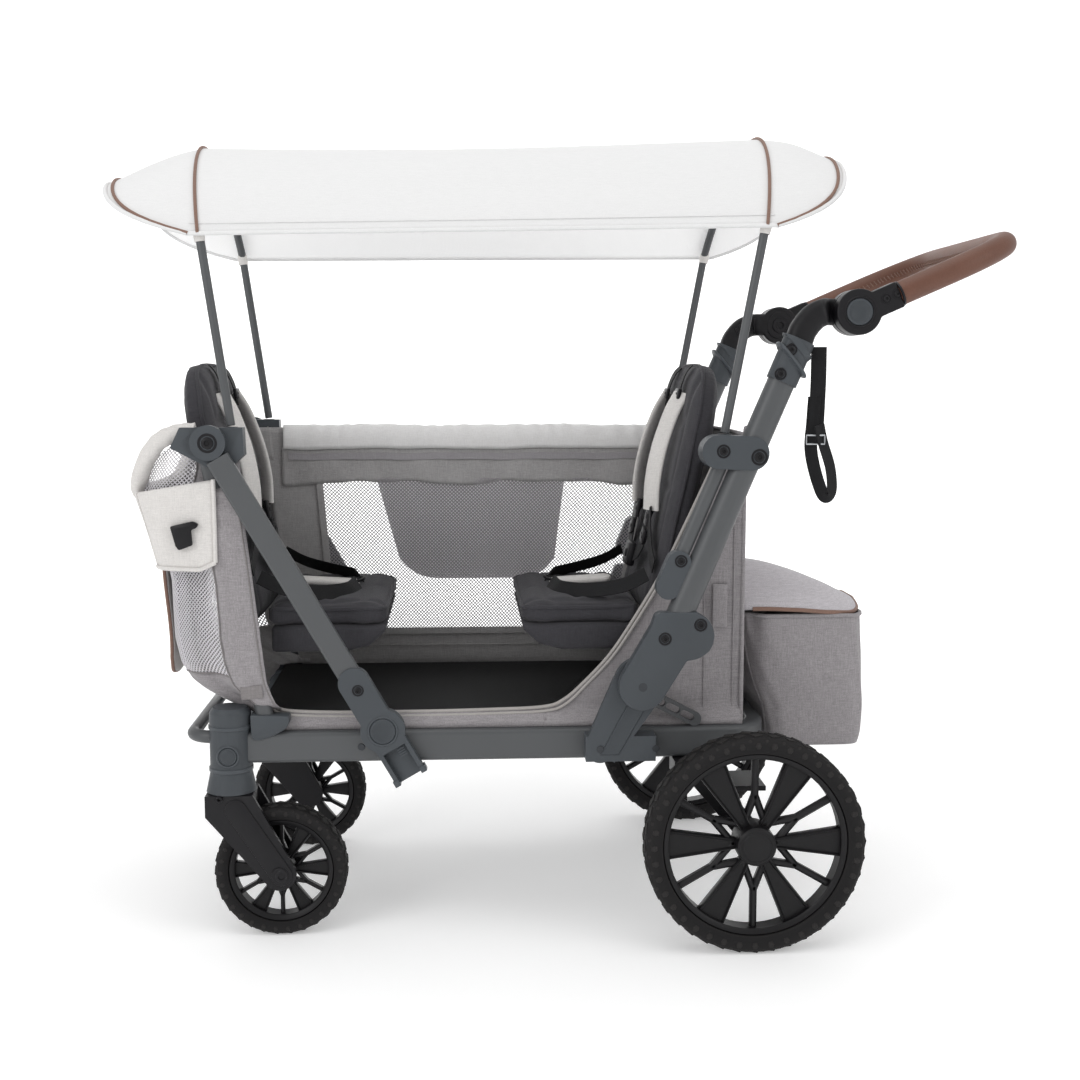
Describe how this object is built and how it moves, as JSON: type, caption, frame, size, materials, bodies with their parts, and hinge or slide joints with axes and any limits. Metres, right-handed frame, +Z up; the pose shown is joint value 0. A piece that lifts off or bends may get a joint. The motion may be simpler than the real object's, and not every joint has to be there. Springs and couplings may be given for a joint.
{
  "type": "stroller wagon",
  "caption": "Folding stroller wagon with a cloth tub, facing padded seats, pole canopy, swivelling front wheels, spoked rear wheels, leather push handle and rear bag.",
  "frame": {"origin": "on the floor under the middle of the wagon's box", "axes": "+X towards the push handle, +Y towards the closed side wall, +Z up"},
  "size_m": [1.299, 0.648, 1.136],
  "materials": {
    "frame_paint": "satin paint",
    "joint_plastic": "fine grained",
    "black_plastic": "fine grained",
    "button_plastic": "satin",
    "steel": "zinc plated",
    "wheel_plastic": "satin",
    "tyre": "foamed rubber",
    "outer_cloth": "melange weave",
    "inner_cloth": "melange weave",
    "light_cloth": "padded weave",
    "net_cloth": "open mesh",
    "floor_mat": "padded mat on a board",
    "seat_cloth": "quilted weave",
    "canopy_cloth": "coated weave",
    "webbing": "ribbed webbing",
    "leather": "stitched"
  },
  "bodies": {
    "chassis": {"base_frame": "frame_paint", "bumper_bar": "frame_paint", "caster_heads": "joint_plastic", "upright_cups": "joint_plastic", "fold_links": "joint_plastic", "rear_braces": "frame_paint", "pivot_pins": "steel", "floor_board": "floor_mat", "rear_axle": "steel", "axle_hangers": "black_plastic", "frame_screws": "steel", "side_wall_left": "outer_cloth", "side_wall_right": "inner_cloth", "window_net": "net_cloth", "front_wall": "outer_cloth", "rear_wall": "outer_cloth", "front_cuff": "light_cloth", "rear_bag": "outer_cloth", "front_seat_back": "seat_cloth", "front_seat_base": "seat_cloth", "rear_seat_back": "seat_cloth", "rear_seat_base": "seat_cloth", "front_harness": "light_cloth", "rear_harness": "light_cloth"},
    "push_frame": {"push_tubes": "frame_paint", "slim_tubes": "frame_paint", "rear_top_brackets": "joint_plastic", "rear_lower_brackets": "joint_plastic", "tube_collars": "joint_plastic", "link_sliders": "joint_plastic", "handle_elbows": "black_plastic", "wrist_strap": "webbing"},
    "handle": {"handle_arms": "black_plastic", "handle_grip": "leather"},
    "handle_button_left": {"handle_button_left": "button_plastic"},
    "handle_button_right": {"handle_button_right": "button_plastic"},
    "front_frame": {"front_struts": "frame_paint", "strut_hubs": "joint_plastic", "front_top_brackets": "joint_plastic", "front_uprights": "frame_paint", "front_top_bar": "frame_paint"},
    "strut_button_left": {"strut_button_left": "button_plastic"},
    "strut_button_right": {"strut_button_right": "button_plastic"},
    "canopy": {"canopy_poles": "frame_paint", "canopy_bows": "frame_paint", "canopy_roof": "canopy_cloth"},
    "rear_wheel_left": {"rear_tyre_left": "tyre", "rear_rim_left": "wheel_plastic"},
    "rear_wheel_right": {"rear_tyre_right": "tyre", "rear_rim_right": "wheel_plastic"},
    "caster_left": {"caster_fork_left": "black_plastic"},
    "caster_right": {"caster_fork_right": "black_plastic"},
    "front_wheel_left": {"front_tyre_left": "tyre", "front_rim_left": "wheel_plastic"},
    "front_wheel_right": {"front_tyre_right": "tyre", "front_rim_right": "wheel_plastic"},
    "caster_button_left": {"caster_button_left": "button_plastic"},
    "caster_button_right": {"caster_button_right": "button_plastic"},
    "brake": {"brake_pedal": "black_plastic"},
    "lid": {"bag_lid": "outer_cloth"}
  },
  "joints": [
    {"name": "frame_fold", "type": "hinge", "parent": "chassis", "child": "push_frame", "pos_m": [0.108, 0, 0.362], "axis": [0, -1, 0], "range_deg": [0, 105], "deforming": ["side_wall_left", "side_wall_right", "window_net", "front_wall", "rear_wall", "front_cuff", "front_seat_back", "front_seat_base", "rear_seat_back", "rear_seat_base", "front_harness", "rear_harness"]},
    {"name": "front_fold", "type": "hinge", "parent": "chassis", "child": "front_frame", "pos_m": [-0.25, 0, 0.296], "axis": [0, 1, 0], "range_deg": [0, 100]},
    {"name": "canopy_lift", "type": "slide", "parent": "chassis", "child": "canopy", "axis": [-0.6, 0, 0.8], "range_m": [0, 1.21]},
    {"name": "rear_left_spin", "type": "hinge", "parent": "chassis", "child": "rear_wheel_left", "pos_m": [0.258, -0.2975, 0.152], "axis": [0, 1, 0], "continuous": true},
    {"name": "caster_left_swivel", "type": "hinge", "parent": "chassis", "child": "caster_left", "pos_m": [-0.464, -0.195, 0.2], "axis": [0, 0, 1], "continuous": true},
    {"name": "front_left_spin", "type": "hinge", "parent": "caster_left", "child": "front_wheel_left", "pos_m": [-0.396, -0.195, 0.093], "axis": [0, 1, 0], "continuous": true},
    {"name": "caster_left_button_press", "type": "slide", "parent": "chassis", "child": "caster_button_left", "axis": [0, 1, 0], "range_m": [0, 0.003], "stiffness_N_per_m": 600},
    {"name": "handle_left_button_press", "type": "slide", "parent": "handle", "child": "handle_button_left", "axis": [0, 1, 0], "range_m": [0, 0.004], "stiffness_N_per_m": 600},
    {"name": "strut_left_button_press", "type": "slide", "parent": "front_frame", "child": "strut_button_left", "axis": [0, 1, 0], "range_m": [0, 0.003], "stiffness_N_per_m": 600},
    {"name": "rear_right_spin", "type": "hinge", "parent": "chassis", "child": "rear_wheel_right", "pos_m": [0.258, 0.2975, 0.152], "axis": [0, 1, 0], "continuous": true},
    {"name": "caster_right_swivel", "type": "hinge", "parent": "chassis", "child": "caster_right", "pos_m": [-0.464, 0.195, 0.2], "axis": [0, 0, 1], "continuous": true},
    {"name": "front_right_spin", "type": "hinge", "parent": "caster_right", "child": "front_wheel_right", "pos_m": [-0.396, 0.195, 0.093], "axis": [0, 1, 0], "continuous": true},
    {"name": "caster_right_button_press", "type": "slide", "parent": "chassis", "child": "caster_button_right", "axis": [0, -1, 0], "range_m": [0, 0.003], "stiffness_N_per_m": 600},
    {"name": "handle_right_button_press", "type": "slide", "parent": "handle", "child": "handle_button_right", "axis": [0, -1, 0], "range_m": [0, 0.004], "stiffness_N_per_m": 600},
    {"name": "strut_right_button_press", "type": "slide", "parent": "front_frame", "child": "strut_button_right", "axis": [0, -1, 0], "range_m": [0, 0.003], "stiffness_N_per_m": 600},
    {"name": "handle_tilt", "type": "hinge", "parent": "push_frame", "child": "handle", "pos_m": [0.39724, 0, 0.87192], "axis": [0, -1, 0], "range_deg": [-65, 45]},
    {"name": "brake_press", "type": "hinge", "parent": "chassis", "child": "brake", "pos_m": [0.258, 0, 0.152], "axis": [0, 1, 0], "range_deg": [0, 18]},
    {"name": "lid_open", "type": "hinge", "parent": "chassis", "child": "lid", "pos_m": [0.2663, 0, 0.506], "axis": [0, -1, 0], "range_deg": [0, 100]}
  ],
  "couplings": [
    {"joint": "front_fold", "follows": "frame_fold", "ratio": 0.952},
    {"joint": "canopy_lift", "follows": "frame_fold", "m_per_rad": 0.66}
  ]
}
